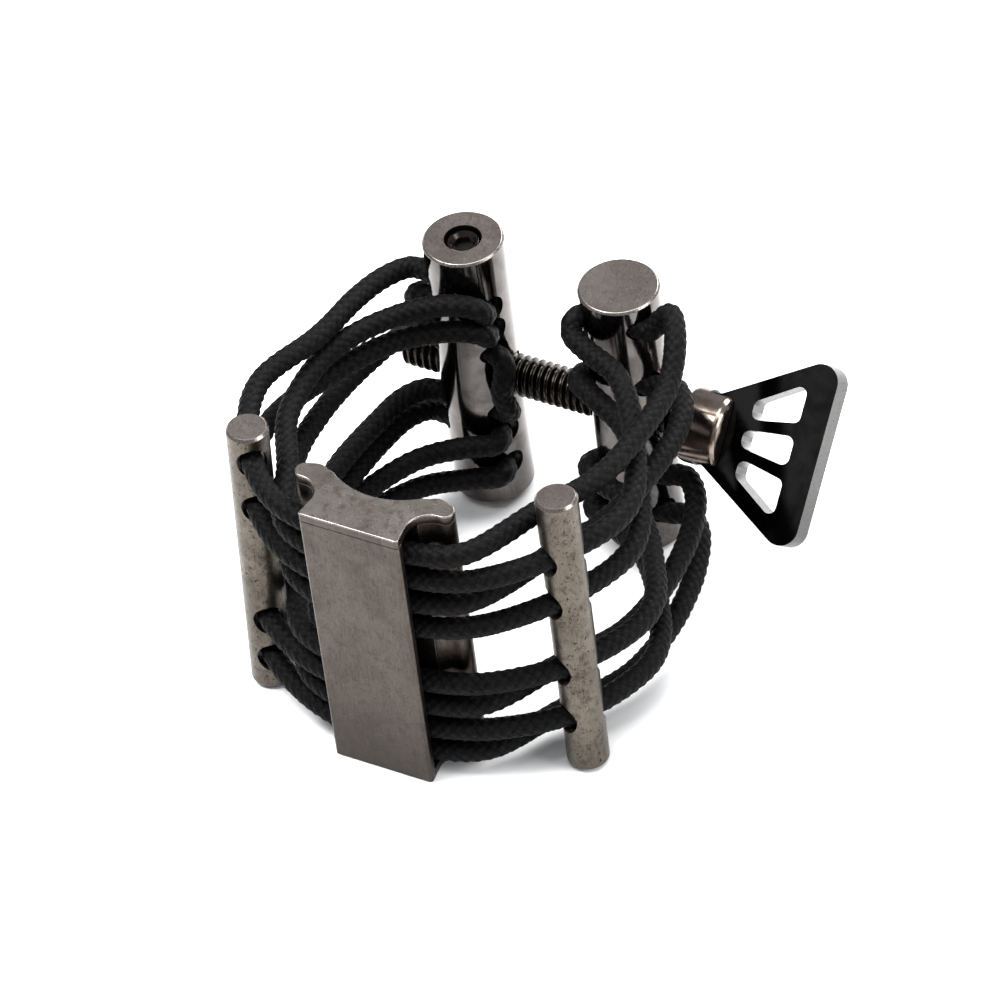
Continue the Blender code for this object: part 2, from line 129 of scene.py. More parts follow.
# =====================================================================================
# materials
# =====================================================================================
class Mat:
    """a small helper that chains shader nodes"""

    def __init__(self, name, colour, rough, metal=0.0, **sockets):
        self.m = bpy.data.materials.new(name)
        self.m.use_nodes = True
        self.t = self.m.node_tree
        self.b = self.t.nodes["Principled BSDF"]
        self.b.inputs["Base Color"].default_value = (*colour, 1.0)
        self.b.inputs["Roughness"].default_value = rough
        self.b.inputs["Metallic"].default_value = metal
        for k, v in sockets.items():
            self.b.inputs[k.replace("_", " ")].default_value = v
        self.m.diffuse_color = (*colour, 1.0)

    def link(self, a, b):
        self.t.links.new(a, b)

    def coords(self, scale=(1000.0, 1000.0, 1000.0), rot=(0.0, 0.0, 0.0), uv=None):
        if uv:
            src = self.t.nodes.new("ShaderNodeUVMap")
            src.uv_map = uv
            out = src.outputs["UV"]
        else:
            src = self.t.nodes.new("ShaderNodeTexCoord")
            out = src.outputs["Object"]
        mp = self.t.nodes.new("ShaderNodeMapping")
        mp.inputs["Scale"].default_value = scale
        mp.inputs["Rotation"].default_value = rot
        self.link(out, mp.inputs["Vector"])
        return mp.outputs["Vector"]

    def noise(self, vec, scale, detail=2.0, rough=0.5, distort=0.0):
        n = self.t.nodes.new("ShaderNodeTexNoise")
        n.inputs["Scale"].default_value = scale
        n.inputs["Detail"].default_value = detail
        n.inputs["Roughness"].default_value = rough
        n.inputs["Distortion"].default_value = distort
        self.link(vec, n.inputs["Vector"])
        return n.outputs["Fac"]

    def voronoi(self, vec, scale):
        n = self.t.nodes.new("ShaderNodeTexVoronoi")
        n.inputs["Scale"].default_value = scale
        self.link(vec, n.inputs["Vector"])
        return n.outputs["Distance"]

    def span(self, fac, a, b, lo, hi):
        n = self.t.nodes.new("ShaderNodeMapRange")
        n.interpolation_type = "SMOOTHSTEP"
        n.inputs["From Min"].default_value = a
        n.inputs["From Max"].default_value = b
        n.inputs["To Min"].default_value = lo
        n.inputs["To Max"].default_value = hi
        self.link(fac, n.inputs["Value"])
        return n.outputs["Result"]

    def math(self, op, a, b=None, c=None):
        n = self.t.nodes.new("ShaderNodeMath")
        n.operation = op
        for i, v in enumerate((a, b, c)):
            if v is None:
                continue
            if isinstance(v, (int, float)):
                n.inputs[i].default_value = v
            else:
                self.link(v, n.inputs[i])
        return n.outputs[0]

    def mix(self, fac, a, b):
        n = self.t.nodes.new("ShaderNodeMix")
        n.data_type = "RGBA"
        if isinstance(fac, float):
            n.inputs[0].default_value = fac
        else:
            self.link(fac, n.inputs[0])
        for sock, v in ((n.inputs[6], a), (n.inputs[7], b)):
            if isinstance(v, tuple):
                sock.default_value = (*v, 1.0)
            else:
                self.link(v, sock)
        return n.outputs[2]

    def bump(self, height, strength, distance, after=None):
        n = self.t.nodes.new("ShaderNodeBump")
        n.inputs["Strength"].default_value = strength
        n.inputs["Distance"].default_value = distance * MM
        self.link(height, n.inputs["Height"])
        if after is not None:
            self.link(after, n.inputs["Normal"])
        return n.outputs["Normal"]

    def colour(self, out):
        self.link(out, self.b.inputs["Base Color"])

    def rough(self, out):
        self.link(out, self.b.inputs["Roughness"])

    def normal(self, out):
        self.link(out, self.b.inputs["Normal"])


def satin_metal(name, light, dark, rough, streak, rot=(0.0, 0.0, 0.0), pits=0.5, blotch=0.5, painted_bottom_shade=0.0):
    """bead-blasted and brushed gun metal: fine grain, streaks, pits and brown-grey blotches, optionally with painted
    shade that darkens the lower end
    """
    m = Mat(name, light, rough, 1.0)
    v = m.coords(rot=rot)
    vs = m.coords(scale=tuple(1000.0 * s for s in streak), rot=rot)
    grain = m.noise(v, 7.0, 3.0, 0.65)
    brush = m.noise(vs, 2.2, 4.0, 0.6)
    broad = m.noise(v, 0.22, 3.0, 0.55, 0.6)
    mott = m.noise(v, 1.1, 4.0, 0.62, 0.4)
    pit = m.span(m.noise(v, 3.4, 2.0, 0.5), 0.60, 0.70, 0.0, 1.0)
    base = m.mix(m.span(broad, 0.35, 0.68, 0.0, 1.0), light, tuple(0.5 * (a + b) for a, b in zip(light, dark)))
    base = m.mix(m.math("MULTIPLY", m.span(mott, 0.46, 0.70, 0.0, 1.0), blotch), base, dark)
    base = m.mix(m.math("MULTIPLY", m.span(grain, 0.35, 0.70, 0.0, 1.0), 0.30), base, tuple(0.6 * c for c in dark))
    base = m.mix(m.math("MULTIPLY", m.span(brush, 0.40, 0.66, 0.0, 1.0), 0.22), base, tuple(min(1.0, 1.35 * c) for c in light))
    base = m.mix(m.math("MULTIPLY", pit, pits), base, tuple(0.35 * c for c in dark))
    if painted_bottom_shade:
        # painted shade: the colour darkens towards the lower end, where less light reaches
        low = m.t.nodes.new("ShaderNodeSeparateXYZ")
        m.link(v, low.inputs["Vector"])
        base = m.mix(m.span(low.outputs["Z"], 1.0, 15.0, painted_bottom_shade, 0.0), base, tuple(0.8 * c for c in dark))
    m.colour(base)
    r = m.math("ADD", m.span(grain, 0.3, 0.7, rough - 0.06, rough + 0.08), m.math("MULTIPLY", m.span(brush, 0.4, 0.7, 0.0, 1.0), -0.05))
    m.rough(m.math("ADD", r, m.math("MULTIPLY", pit, 0.12)))
    n = m.bump(grain, 0.35, 0.02)
    n = m.bump(brush, 0.25, 0.02, n)
    m.normal(m.bump(m.math("MULTIPLY", pit, -1.0), 0.5 * pits, 0.03, n))
    return m.m


def polished_metal(name, light, dark, rough, smear=0.5):
    """plated and buffed: smudges, hairline wipe marks, slight unevenness in the plating"""
    m = Mat(name, light, rough, 1.0)
    v = m.coords()
    wipe = m.noise(m.coords(scale=(3000.0, 3000.0, 260.0), rot=(0.12, 0.05, 0.0)), 2.0, 4.0, 0.6)
    cloud = m.noise(v, 0.35, 3.0, 0.6, 0.8)
    fine = m.noise(v, 14.0, 2.0, 0.6)
    base = m.mix(m.span(cloud, 0.36, 0.66, 0.0, 1.0), light, dark)
    base = m.mix(m.math("MULTIPLY", m.span(wipe, 0.50, 0.68, 0.0, 1.0), 0.25), base, tuple(min(1.0, 1.3 * c) for c in light))
    m.colour(base)
    r = m.span(cloud, 0.3, 0.7, rough, rough + 0.10 * smear)
    m.rough(m.math("ADD", r, m.span(wipe, 0.45, 0.75, 0.0, 0.10 * smear)))
    n = m.bump(wipe, 0.06, 0.02)
    m.normal(m.bump(fine, 0.05, 0.01, n))
    return m.m


def braid_material(name):
    """black filament yarn: each stitch has its own lie and twisted filaments, with painted shade darkening the valleys
    between stitches
    """
    m = Mat(name, (0.008, 0.008, 0.009), 0.5, 0.0, Sheen_Weight=0.004, Sheen_Roughness=0.4, Specular_IOR_Level=0.05)
    m.b.inputs["Sheen Tint"].default_value = (0.72, 0.76, 0.86, 1.0)
    att = m.t.nodes.new("ShaderNodeAttribute")
    att.attribute_name = "stitch"
    sep = m.t.nodes.new("ShaderNodeSeparateColor")
    m.link(att.outputs["Color"], sep.inputs["Color"])
    height, lot, side = sep.outputs[0], sep.outputs[1], sep.outputs[2]
    uvn = m.t.nodes.new("ShaderNodeUVMap")
    uvn.uv_map = "braid"
    su = m.t.nodes.new("ShaderNodeSeparateXYZ")
    m.link(uvn.outputs["UV"], su.inputs["Vector"])
    a = m.math("ADD", su.outputs["X"], su.outputs["Y"])
    b = m.math("SUBTRACT", su.outputs["X"], su.outputs["Y"])

    def filaments(across, along):
        c = m.t.nodes.new("ShaderNodeCombineXYZ")
        m.link(m.math("ADD", m.math("MULTIPLY", across, 9.0), m.math("MULTIPLY", along, 1.5)), c.inputs["X"])
        m.link(m.math("MULTIPLY", along, 1.3), c.inputs["Y"])
        return m.noise(c.outputs["Vector"], 1.0, 3.0, 0.6)

    fa, fb = filaments(a, b), filaments(b, a)
    pick = m.span(side, 0.45, 0.55, 0.0, 1.0)
    mixf = m.t.nodes.new("ShaderNodeMix")
    mixf.data_type = "FLOAT"
    m.link(pick, mixf.inputs[0])
    m.link(fa, mixf.inputs[2])
    m.link(fb, mixf.inputs[3])
    fil = mixf.outputs[0]
    # painted shade: the valleys between stitches are coloured darker than the crests
    base = m.mix(m.span(height, 0.25, 0.95, 0.0, 1.0), (0.0003, 0.0003, 0.0004), (0.0030, 0.0029, 0.0032))
    base = m.mix(m.math("MULTIPLY", m.span(fil, 0.42, 0.70, 0.0, 1.0), 0.55), base, (0.0105, 0.0102, 0.0110))
    base = m.mix(m.math("MULTIPLY", m.span(lot, 0.5, 1.0, 0.0, 1.0), 0.35), base, (0.0055, 0.0053, 0.0056))
    m.colour(base)
    m.rough(m.span(fil, 0.3, 0.75, 0.62, 0.42))
    m.normal(m.bump(fil, 0.6, 0.05))
    return m.m


# the saddle's sides get painted shade that darkens their lower end
SATIN_SADDLE = satin_metal("satin_saddle", (0.078, 0.066, 0.057), (0.036, 0.029, 0.024), 0.36, (2.2, 2.2, 0.35), pits=0.4, blotch=0.55, painted_bottom_shade=0.6)
SATIN_PLATE = satin_metal("satin_plate", (0.24, 0.222, 0.20), (0.105, 0.082, 0.064), 0.34, (0.5, 2.0, 2.0), pits=0.35, blotch=0.8)
SATIN_BAR = satin_metal("satin_bar", (0.118, 0.101, 0.083), (0.036, 0.029, 0.023), 0.36, (2.6, 2.6, 0.5), pits=0.95, blotch=0.75)
SATIN_END = satin_metal("satin_end", (0.21, 0.183, 0.165), (0.108, 0.090, 0.078), 0.34, (3.0, 0.35, 1.0), rot=(0.0, 0.0, 0.6), pits=0.4, blotch=0.45)
POLISH_POST = polished_metal("polished_post", (0.115, 0.106, 0.101), (0.07, 0.062, 0.058), 0.08)
WORN_EDGE = satin_metal("worn_edge", (0.26, 0.24, 0.22), (0.14, 0.125, 0.11), 0.26, (2.0, 2.0, 1.0), pits=0.3, blotch=0.3)
# painted shade: holes, hole mouths, the boss's bore and slot, and the lock screws sunk in the post are coloured darker
# than the plated outside
BORE_SHADE = polished_metal("bore_painted_shade", (0.045, 0.042, 0.038), (0.022, 0.020, 0.018), 0.32)
CRADLE_DARK = polished_metal("cradle_dark", (0.050, 0.044, 0.040), (0.028, 0.024, 0.021), 0.16)
THREAD = polished_metal("thread_metal", (0.042, 0.036, 0.031), (0.024, 0.020, 0.017), 0.20)
BOSS_WARM = polished_metal("boss_warm", (0.26, 0.22, 0.19), (0.155, 0.118, 0.097), 0.15)
WING_FACE = polished_metal("wing_face", (0.050, 0.047, 0.047), (0.026, 0.024, 0.024), 0.07, 0.35)
WING_EDGE = satin_metal("wing_edge", (0.036, 0.034, 0.032), (0.020, 0.018, 0.016), 0.30, (0.6, 2.0, 2.0), pits=0.4, blotch=0.4)
BRAID = braid_material("black_braid")


# =====================================================================================
# mesh helpers
# =====================================================================================
scene_col = bpy.context.scene.collection


def object_from(name, verts, faces, mats, model=False):
    me = bpy.data.meshes.new(name)
    co = np.asarray(verts, float)
    me.from_pydata((co if model else to_model(co)).tolist(), [], faces)
    me.validate()
    for mt in mats:
        me.materials.append(mt)
    ob = bpy.data.objects.new(name, me)
    scene_col.objects.link(ob)
    bm = bmesh.new()
    bm.from_mesh(me)
    bmesh.ops.recalc_face_normals(bm, faces=bm.faces)
    bm.to_mesh(me)
    bm.free()
    return ob


def lathe(name, prof, n, axis, centre, mats):
    """a closed solid of revolution; prof runs from one end's middle to the other's, as (radius, height)"""
    ang = np.arange(n) * 2 * math.pi / n
    verts, faces = [], []
    rows = []
    for r, h in prof:
        if r <= 1e-9:
            rows.append([len(verts)])
            verts.append((0.0, 0.0, h))
        else:
            rows.append(list(range(len(verts), len(verts) + n)))
            verts += [(r * math.cos(t), r * math.sin(t), h) for t in ang]
    for p, q in zip(rows, rows[1:]):
        for i in range(n):
            j = (i + 1) % n
            if len(p) == 1:
                faces.append((p[0], q[i], q[j]))
            elif len(q) == 1:
                faces.append((p[i], p[j], q[0]))
            else:
                faces.append((p[i], p[j], q[j], q[i]))
    v = np.array(verts)
    if axis == "X":
        v = v[:, [2, 0, 1]]
    return object_from(name, v + np.array(centre), faces, mats)


def rounded_rod(r, h0, h1, e, k=4):
    """profile of a rod between h0 and h1 with edges rounded by e"""
    pts = [(0.0, h0)]
    for i in range(k + 1):
        t = math.pi / 2 * i / k
        pts.append((r - e + e * math.sin(t), h0 + e - e * math.cos(t)))
    for i in range(k + 1):
        t = math.pi / 2 * i / k
        pts.append((r - e + e * math.cos(t), h1 - e + e * math.sin(t)))
    pts.append((0.0, h1))
    return pts


def chamfered_rod(r, h0, h1, c, lip=0.05):
    return [(0.0, h0), (r - c - lip, h0), (r - c, h0 + 0.02), (r - 0.02, h0 + c), (r, h0 + c + lip),
            (r, h1 - c - lip), (r - 0.02, h1 - c), (r - c, h1 - 0.02), (r - c - lip, h1), (0.0, h1)]


def rod(name, r, h0, h1, sides, centre, axis, heading=None):
    """a plain cutter between h0 and h1 along its axis through the centre"""
    bpy.ops.mesh.primitive_cylinder_add(vertices=sides, radius=r * MM, depth=(h1 - h0) * MM)
    ob = bpy.context.active_object
    ob.name = name
    mid = (h0 + h1) / 2
    if axis == "Z":
        m = Matrix.Translation(at(centre[0], centre[1], centre[2] + mid))
    elif axis == "X":
        m = Matrix.Translation(at(centre[0] + mid, centre[1], centre[2])) @ Matrix.Rotation(math.pi / 2, 4, "Y")
    else:
        a = math.radians(heading)
        m = (Matrix.Translation(at(centre[0] + mid * math.cos(a), centre[1] + mid * math.sin(a), centre[2]))
             @ Matrix.Rotation(a, 4, "Z") @ Matrix.Rotation(math.pi / 2, 4, "Y"))
    ob.data.transform(m)
    # cutters carry the painted-shade bore colour onto the walls they carve
    ob.data.materials.clear()
    ob.data.materials.append(BORE_SHADE)
    return ob


def ball(name, r, centre):
    bpy.ops.mesh.primitive_uv_sphere_add(segments=40, ring_count=20, radius=r * MM)
    ob = bpy.context.active_object
    ob.name = name
    # cutters carry the painted-shade bore colour onto the walls they carve
    ob.data.transform(Matrix.Translation(at(*centre)))
    ob.data.materials.clear()
    ob.data.materials.append(BORE_SHADE)
    return ob


def joined(obs):
    """several separate cutters as one"""
    me = bpy.data.meshes.new("cutter")
    bm = bmesh.new()
    for o in obs:
        bm.from_mesh(o.data)
    bm.to_mesh(me)
    bm.free()
    me.materials.append(BORE_SHADE)
    ob = bpy.data.objects.new("cutter", me)
    scene_col.objects.link(ob)
    for o in obs:
        bpy.data.objects.remove(o, do_unlink=True)
    return ob


def carve(ob, *cutters):
    for c in cutters:
        m = ob.modifiers.new("cut", "BOOLEAN")
        m.operation = "DIFFERENCE"
        m.solver = "EXACT"
        m.material_mode = "TRANSFER"
        m.object = c
    bake(ob)
    for c in cutters:
        bpy.data.objects.remove(c, do_unlink=True)
    return ob


def bake(ob):
    """the modifiers' result becomes the mesh"""
    bpy.context.view_layer.update()
    deps = bpy.context.evaluated_depsgraph_get()
    me = bpy.data.meshes.new_from_object(ob.evaluated_get(deps), preserve_all_data_layers=True, depsgraph=deps)
    old = ob.data
    ob.modifiers.clear()
    ob.data = me
    me.name = ob.name
    if old.users == 0:
        bpy.data.meshes.remove(old)
    return ob


def turned_normals(ob, axis, centre, spare=0.02):
    """true normals on every facet that belongs to a surface turned about the axis"""
    me = ob.data
    me.shade_smooth()
    me.set_sharp_from_angle(angle=math.radians(28))
    c = np.array(at(*centre))
    ax = np.array({"Z": (0.0, 0.0, 1.0), "X": (1.0, 0.0, 0.0)}[axis]) if isinstance(axis, str) else np.array(axis)
    nv, nl, npoly = len(me.vertices), len(me.loops), len(me.polygons)
    co = np.zeros(nv * 3)
    me.vertices.foreach_get("co", co)
    co = co.reshape(-1, 3) - c
    lv = np.zeros(nl, np.int64)
    me.loops.foreach_get("vertex_index", lv)
    ln = np.zeros(nl * 3)
    me.corner_normals.foreach_get("vector", ln)
    ln = ln.reshape(-1, 3)
    pn = np.zeros(npoly * 3)
    me.polygons.foreach_get("normal", pn)
    pn = pn.reshape(-1, 3)
    tot = np.zeros(npoly, np.int64)
    me.polygons.foreach_get("loop_total", tot)
    of = np.repeat(np.arange(npoly), tot)

    def radial(p):
        q = p - (p @ ax)[:, None] * ax
        s = np.linalg.norm(q, axis=1, keepdims=True)
        return q / np.maximum(s, 1e-12), s[:, 0]

    mid = np.zeros((npoly, 3))
    np.add.at(mid, of, co[lv])
    mid /= tot[:, None]
    # the facet's own direction, from the mean of its corners
    rad, size = radial(mid)
    nz = pn @ ax
    out = np.sign(np.einsum("ij,ij->i", pn, rad))
    flat = np.linalg.norm(pn - nz[:, None] * ax, axis=1)
    tang = np.linalg.norm(pn - nz[:, None] * ax - (np.einsum("ij,ij->i", pn, rad))[:, None] * rad, axis=1)
    good = (tang < 0.06) & (size > 0.3 * MM)
    rl, _ = radial(co[lv])
    want = nz[of][:, None] * ax + (flat * out)[of][:, None] * rl
    want /= np.maximum(np.linalg.norm(want, axis=1, keepdims=True), 1e-9)
    # only where the true normal stays close to the facet's
    near = np.einsum("ij,ij->i", want, pn[of]) > 0.985
    use = good[of] & near
    ln[use] = want[use]
    me.normals_split_custom_set(ln.tolist())


def paint(ob, rule):
    """rule(normal, centre in ring millimetres, current slot) gives the material slot of each facet"""
    for p in ob.data.polygons:
        c = np.array(p.center) / MM + ORIGIN
        k = rule(p.normal, c, p.material_index)
        if k is not None:
            p.material_index = k


def arc(cx, cy, r, a0, a1, n):
    return [(cx + r * math.cos(math.radians(a0 + (a1 - a0) * i / n)),
             cy + r * math.sin(math.radians(a0 + (a1 - a0) * i / n))) for i in range(n + 1)]


def polar(angle, r, side):
    a = math.radians(angle)
    return side * r * math.sin(a), -r * math.cos(a)


def prism(name, outline, z0, z1, mats):
    n = len(outline)
    verts = [(x, y, z0) for x, y in outline] + [(x, y, z1) for x, y in outline]
    faces = [tuple(range(n))[::-1], tuple(range(n, 2 * n))]
    faces += [(i, (i + 1) % n, n + (i + 1) % n, n + i) for i in range(n)]
    return object_from(name, verts, faces, mats)


def soften(ob, width, segments=3, angle=30.0, weigh=True):
    m = ob.modifiers.new("edge", "BEVEL")
    m.width = width * MM
    m.segments = segments
    m.limit_method = "ANGLE"
    m.angle_limit = math.radians(angle)
    m.use_clamp_overlap = True
    m.harden_normals = False
    bake(ob)
    ob.data.shade_smooth()
    if weigh:
        ob.data.set_sharp_from_angle(angle=math.radians(60))
        w = ob.modifiers.new("weigh", "WEIGHTED_NORMAL")
        w.mode = "FACE_AREA"
        w.weight = 80
        w.keep_sharp = True
        bake(ob)
    return ob


def merge(name, obs):
    """several solids as one piece"""
    bpy.ops.object.select_all(action="DESELECT")
    for o in obs:
        o.select_set(True)
    bpy.context.view_layer.objects.active = obs[0]
    bpy.ops.object.join()
    ob = bpy.context.view_layer.objects.active
    ob.name = name
    ob.data.name = name
    return ob


# =====================================================================================
# posts and their lock screws
# =====================================================================================
def make_post(name, x, lift, bores_x, bores_z, body):
    top = lift + POST_H
    ob = lathe(name + "_fine", chamfered_rod(POST_R, lift, top, 0.18), 160, "Z", (x, POST_Y, 0.0), [POLISH_POST, SATIN_END, WORN_EDGE, BORE_SHADE])
    tools = [rod("c", r, h0, h1, 48, (x, y, z), "X") for r, h0, h1, y, z in bores_x]
    mouths = []
    for r, h0, h1, y, z in bores_x:
        dy = abs(y - POST_Y)
        edge = math.sqrt(POST_R ** 2 - dy ** 2)
        for s, h in ((-1, h0), (1, h1)):
            if abs(h) > POST_R:
                mouths.append(ball("m", r + 0.14, (x + s * (edge + 0.30), y, z)))
    groups = [joined(tools[i::2]) for i in range(2) if tools[i::2]] + [joined(mouths[i::4]) for i in range(4) if mouths[i::4]]
    groups += [rod("z", r, z0, z1, 48, (x, POST_Y, 0.0), "Z") for r, z0, z1 in bores_z]
    carve(ob, *groups)
    def rule(n, c, k):
        rr = math.hypot(c[0] - x, c[1] - POST_Y)
        if abs(n.z) > 0.98 and (c[2] > top - 0.01 or c[2] < lift + 0.01):
            return 1
        if 0.15 < abs(n.z) < 0.98 and (c[2] > top - 0.36 or c[2] < lift + 0.36) and rr > POST_R - 0.5:
            return 2
        # painted shade: walls inside the holes get the darker bore colour
        if rr < POST_R - 0.03 and abs(n.z) < 0.99:
            return 3
        if abs(n.z) < 0.1 and rr > POST_R - 0.03:
            return 0
        return 3

    paint(ob, rule)
    turned_normals(ob, "Z", (x, POST_Y, 0.0))
    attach(ob, body)
    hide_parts(name)
    return ob


reach = POST_R + 2.0
nut_bores = [(SCREW_BORE_R, -reach, reach, POST_Y, SCREW_Z)]
nut_bores += [(CORD_HOLE_R, -reach, reach, CORD_HOLE_Y, N_Z[k]) for k in (2, 3, 4, 5, 6)]
nut_bores += [(CORD_HOLE_R, -reach, 1.2, CORD_HOLE_Y, N_Z[1]), (CORD_HOLE_R, -1.2, reach, CORD_HOLE_Y, N_Z[7])]
nut_post = make_post("nut_post", -POST_X, NUT_LIFT, nut_bores,
                     [(SET_HOLE_R, N_Z[1] + 0.4, POST_H + 2.0), (SET_HOLE_R, -1.0, N_Z[7] - 0.4)], "nut_post")
screw_bores = [(SCREW_BORE_R, -reach, reach, POST_Y, SCREW_Z)] + [(CORD_HOLE_R, -reach, reach, CORD_HOLE_Y, z) for z in P_Z]
screw_post = make_post("screw_post", POST_X, 0.0, screw_bores, [], "screw_post")


def make_lock_screw(node, z0, z1, up):
    # the screw's body, sunk in the post's bore, gets the painted-shade bore colour
    ob = lathe(node + "_fine", chamfered_rod(SET_R, z0, z1, 0.2), 72, "Z", (-POST_X, POST_Y, 0.0), [BORE_SHADE, THREAD])
    lo, hi = (z1 - 1.0, z1 + 1.0) if up else (z0 - 1.0, z0 + 1.0)
    tools = [rod("hex", 1.0, lo, hi, 6, (-POST_X, POST_Y, 0.0), "Z")]
    # the lead-in cone of the socket
    face = z1 if up else z0
    cone = lathe("cone", [(0.0, face - 0.35), (0.95, face - 0.35), (1.5, face + 0.25), (0.0, face + 0.25)] if up else
                 [(0.0, face - 0.25), (1.5, face - 0.25), (0.95, face + 0.35), (0.0, face + 0.35)], 48, "Z", (-POST_X, POST_Y, 0.0), [BORE_SHADE])
    carve(ob, tools[0], cone)
    paint(ob, lambda n, c, k: 1 if abs(n.z) > 0.3 and (abs(c[2] - face) < 0.42) else 0)
    turned_normals(ob, "Z", (-POST_X, POST_Y, 0.0))
    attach(ob, "nut_post")
    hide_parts(node)


make_lock_screw("cord_lock_screw_top", N_Z[1] + CORD_R + 0.3, NUT_LIFT + POST_H - 0.35, True)
make_lock_screw("cord_lock_screw_bottom", NUT_LIFT + 0.35, N_Z[7] - CORD_R - 0.3, False)


# =====================================================================================
# clamp screw with its rolled thread
# =====================================================================================
def make_screw():
    turns, around = 18, 72
    n = int(round((SCREW_END_X - SCREW_TIP_X) / THREAD_PITCH * turns))
    x = np.linspace(SCREW_TIP_X, SCREW_END_X, n)
    t = np.arange(around) * 2 * math.pi / around
    X, T = np.meshgrid(x, t, indexing="ij")
    ph = np.mod(X / THREAD_PITCH - T / (2 * math.pi), 1.0)
    w = np.abs(ph - 0.5) * 2.0                      # 0 at the crest, 1 at the root
    flank = np.clip((w - 0.14) / (0.80 - 0.14), 0.0, 1.0)
    depth = 0.60 * THREAD_PITCH
    R = SCREW_R - depth * (flank * flank * (3 - 2 * flank) * 0.35 + flank * 0.65)
    tip = SCREW_R - 0.62 + (X - SCREW_TIP_X) * 1.0
    R = np.minimum(R, np.maximum(tip, 0.5))
    co = np.stack([X, POST_Y + R * np.cos(T), SCREW_Z + R * np.sin(T)], -1).reshape(-1, 3)
    faces = []
    for i in range(n - 1):
        a, b = i * around, (i + 1) * around
        for j in range(around):
            k = (j + 1) % around
            faces.append((a + j, a + k, b + k, b + j))
    faces.append(tuple(range(around))[::-1])
    faces.append(tuple(range((n - 1) * around, n * around)))
    ob = object_from("clamp_screw_fine", co, faces, [THREAD])
    ob.data.shade_smooth()
    ob.data.set_sharp_from_angle(angle=math.radians(50))
    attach(ob, "thumb_screw")
    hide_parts("clamp_screw")


make_screw()


# =====================================================================================
# boss and wing
# =====================================================================================
def rounded(points, radii, n=5):
    out = []
    m = len(points)
    for i in range(m):
        p0, p1, p2 = Vector(points[i - 1]), Vector(points[i]), Vector(points[(i + 1) % m])
        a, b = (p0 - p1).normalized(), (p2 - p1).normalized()
        r = radii[i]
        if r <= 0:
            out.append(tuple(p1))
            continue
        half = math.acos(max(-1.0, min(1.0, a.dot(b)))) / 2
        centre = p1 + (a + b).normalized() * (r / math.sin(half))
        s = p1 + a * (r / math.tan(half))
        e = p1 + b * (r / math.tan(half))
        a0 = math.atan2(s.y - centre.y, s.x - centre.x)
        a1 = math.atan2(e.y - centre.y, e.x - centre.x)
        while a1 - a0 > math.pi:
            a1 -= 2 * math.pi
        while a1 - a0 < -math.pi:
            a1 += 2 * math.pi
        for k in range(n + 1):
            t = a0 + (a1 - a0) * k / n
            out.append((centre.x + r * math.cos(t), centre.y + r * math.sin(t)))
    return out


def rib_window(x0, x1, y0a, y1a, y0b, y1b, r):
    return rounded([(x0, y0a), (x1, y0b), (x1, y1b), (x0, y1a)], [r] * 4, 8)


def make_boss():
    ob = lathe("thumb_boss_fine", [(0.0, BOSS_X0), (BOSS_R - 1.1, BOSS_X0), (BOSS_R - 0.95, BOSS_X0 + 0.03)]
               + [(BOSS_R - 0.75 + 0.75 * math.sin(a), BOSS_X0 + 0.75 - 0.72 * math.cos(a)) for a in (0.3, 0.6, 0.9, 1.2, math.pi / 2)]
               + [(BOSS_R, BOSS_X1 - 0.9)]
               + [(BOSS_R - 0.7 + 0.7 * math.cos(a), BOSS_X1 - 0.7 + 0.7 * math.sin(a)) for a in (0.0, 0.3, 0.6, 0.9, 1.2, math.pi / 2)]
               + [(0.0, BOSS_X1)], 128, "X", (0.0, POST_Y, SCREW_Z), [BOSS_WARM, BORE_SHADE])
    # the bore and slot walls get the painted-shade bore colour
    bore = rod("bore", SCREW_BORE_R, BOSS_X0 - 1.0, WING_X0, 64, (0.0, POST_Y, SCREW_Z), "X")
    bpy.ops.mesh.primitive_cube_add(size=1.0)
    slot = bpy.context.active_object
    slot.data.transform(Matrix.Translation(at(WING_X0 - 0.3 + 2.0, POST_Y, SCREW_Z)) @ Matrix.Rotation(math.radians(-WING_ANGLE), 4, "X")
                        @ Matrix.Diagonal((4.0 * MM, WING_SLOT * MM, (2 * BOSS_R + 2.0) * MM, 1.0)))
    slot.data.materials.append(BORE_SHADE)
    cone = lathe("cone", [(0.0, BOSS_X0 - 0.3), (SCREW_BORE_R + 0.55, BOSS_X0 - 0.3), (SCREW_BORE_R, BOSS_X0 + 0.3), (0.0, BOSS_X0 + 0.3)],
                 64, "X", (0.0, POST_Y, SCREW_Z), [BOSS_WARM])
    carve(ob, bore, slot, cone)
    turned_normals(ob, "X", (0.0, POST_Y, SCREW_Z))
    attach(ob, "thumb_screw")
    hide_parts("thumb_boss")


make_boss()


